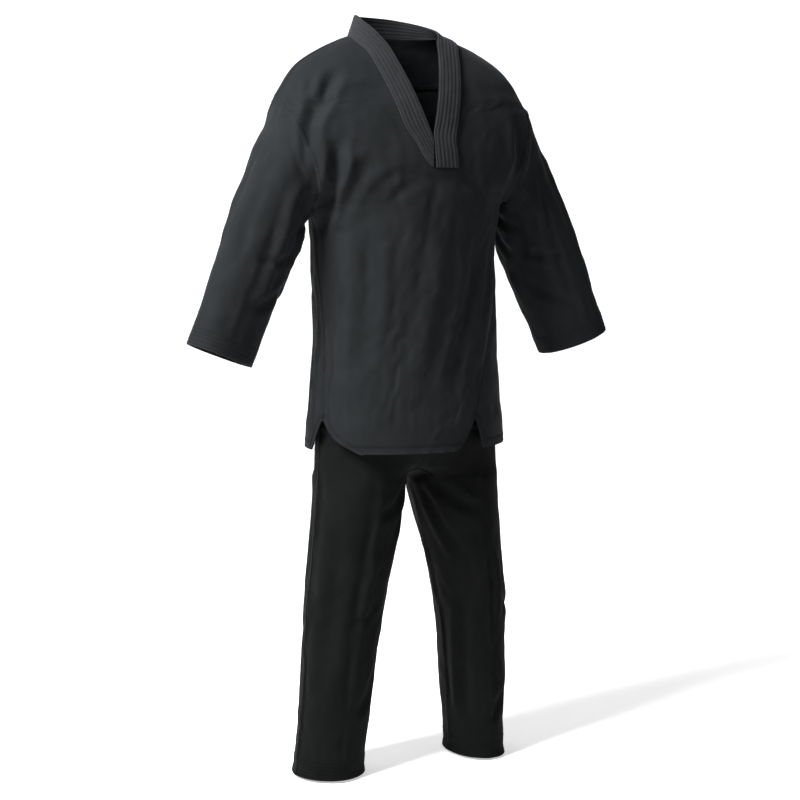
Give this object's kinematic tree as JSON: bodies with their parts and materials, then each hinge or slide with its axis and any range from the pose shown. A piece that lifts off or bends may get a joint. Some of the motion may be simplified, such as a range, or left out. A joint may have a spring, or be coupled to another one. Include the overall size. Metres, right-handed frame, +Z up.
{
  "type": "martial arts uniform",
  "caption": "Loose V-neck pullover jacket with a quilted band and side vents, over elasticated trousers; sleeves, legs and front tail bend at joints",
  "frame": {"origin": "middle of the trousers' waist opening, at the waistband's top edge", "axes": "+X to the wearer's left, +Y to the wearer's back, +Z up along the wearer"},
  "size_m": [0.8774, 0.3, 1.424],
  "materials": {
    "jacket_cotton": "black brushed cotton twill, matt, slightly faded along the folds",
    "band_cotton": "black cotton twill, folded and quilted with parallel rows of stitching",
    "trouser_cotton": "black cotton twill, matt, a little darker than the jacket",
    "seam_tape": "black cotton tape, flat weave",
    "elastic": "ribbed black braided elastic",
    "eyelet_metal": "black lacquered steel, satin"
  },
  "bodies": {
    "trousers_top": {"waistband_front": "trouser_cotton", "waistband_back": "trouser_cotton", "right_hip_front": "trouser_cotton", "right_hip_back": "trouser_cotton", "left_hip_front": "trouser_cotton", "left_hip_back": "trouser_cotton", "crotch_gusset": "trouser_cotton", "waist_elastic": "elastic", "drawcord_eyelets": "eyelet_metal"},
    "right_thigh": {"right_thigh_front": "trouser_cotton", "right_thigh_back": "trouser_cotton"},
    "right_shin": {"right_shin_front": "trouser_cotton", "right_shin_back": "trouser_cotton", "right_leg_cuff": "trouser_cotton"},
    "right_upper_sleeve": {"right_upper_sleeve": "jacket_cotton"},
    "right_lower_sleeve": {"right_lower_sleeve": "jacket_cotton", "right_sleeve_cuff": "jacket_cotton"},
    "left_thigh": {"left_thigh_front": "trouser_cotton", "left_thigh_back": "trouser_cotton"},
    "left_shin": {"left_shin_front": "trouser_cotton", "left_shin_back": "trouser_cotton", "left_leg_cuff": "trouser_cotton"},
    "left_upper_sleeve": {"left_upper_sleeve": "jacket_cotton"},
    "left_lower_sleeve": {"left_lower_sleeve": "jacket_cotton", "left_sleeve_cuff": "jacket_cotton"},
    "jacket": {"jacket_front": "jacket_cotton", "jacket_back": "jacket_cotton", "back_yoke": "jacket_cotton", "right_lapel_band": "band_cotton", "left_lapel_band": "band_cotton", "collar_band": "band_cotton", "right_shoulder_tape": "seam_tape", "left_shoulder_tape": "seam_tape"},
    "front_tail": {"front_tail": "jacket_cotton"}
  },
  "joints": [
    {"name": "jacket_lift", "type": "slide", "parent": "trousers_top", "child": "jacket", "axis": [0, 0, 1], "range_m": [0, 0.5]},
    {"name": "right_hip_kick", "type": "hinge", "parent": "trousers_top", "child": "right_thigh", "pos_m": [-0.095, -0.1045, -0.445], "axis": [-1, 0, 0], "range_deg": [0, 80]},
    {"name": "right_knee_bend", "type": "hinge", "parent": "right_thigh", "child": "right_shin", "pos_m": [-0.128, 0.0825, -0.69], "axis": [1, 0, 0], "range_deg": [0, 90]},
    {"name": "right_arm_raise", "type": "hinge", "parent": "jacket", "child": "right_upper_sleeve", "pos_m": [-0.2775, 0.006, 0.2682], "axis": [0, 1, 0], "range_deg": [0, 65]},
    {"name": "right_elbow_bend", "type": "hinge", "parent": "right_upper_sleeve", "child": "right_lower_sleeve", "pos_m": [-0.2752, -0.05462, -0.00837], "axis": [-0.8501, -0.4067, 0.3346], "range_deg": [0, 90]},
    {"name": "left_hip_kick", "type": "hinge", "parent": "trousers_top", "child": "left_thigh", "pos_m": [0.103, -0.1045, -0.445], "axis": [-1, 0, 0], "range_deg": [0, 80]},
    {"name": "left_knee_bend", "type": "hinge", "parent": "left_thigh", "child": "left_shin", "pos_m": [0.145, 0.0865, -0.69], "axis": [1, 0, 0], "range_deg": [0, 90]},
    {"name": "left_arm_raise", "type": "hinge", "parent": "jacket", "child": "left_upper_sleeve", "pos_m": [0.2775, 0.006, 0.2682], "axis": [0, -1, 0], "range_deg": [0, 65]},
    {"name": "left_elbow_bend", "type": "hinge", "parent": "left_upper_sleeve", "child": "left_lower_sleeve", "pos_m": [0.2752, -0.05462, -0.00837], "axis": [-0.8501, 0.4067, -0.3346], "range_deg": [0, 90]},
    {"name": "front_tail_flip", "type": "hinge", "parent": "jacket", "child": "front_tail", "pos_m": [-0.08609, -0.13259, -0.30925], "axis": [-0.9391, 0.3435, 0], "range_deg": [0, 75]}
  ]
}
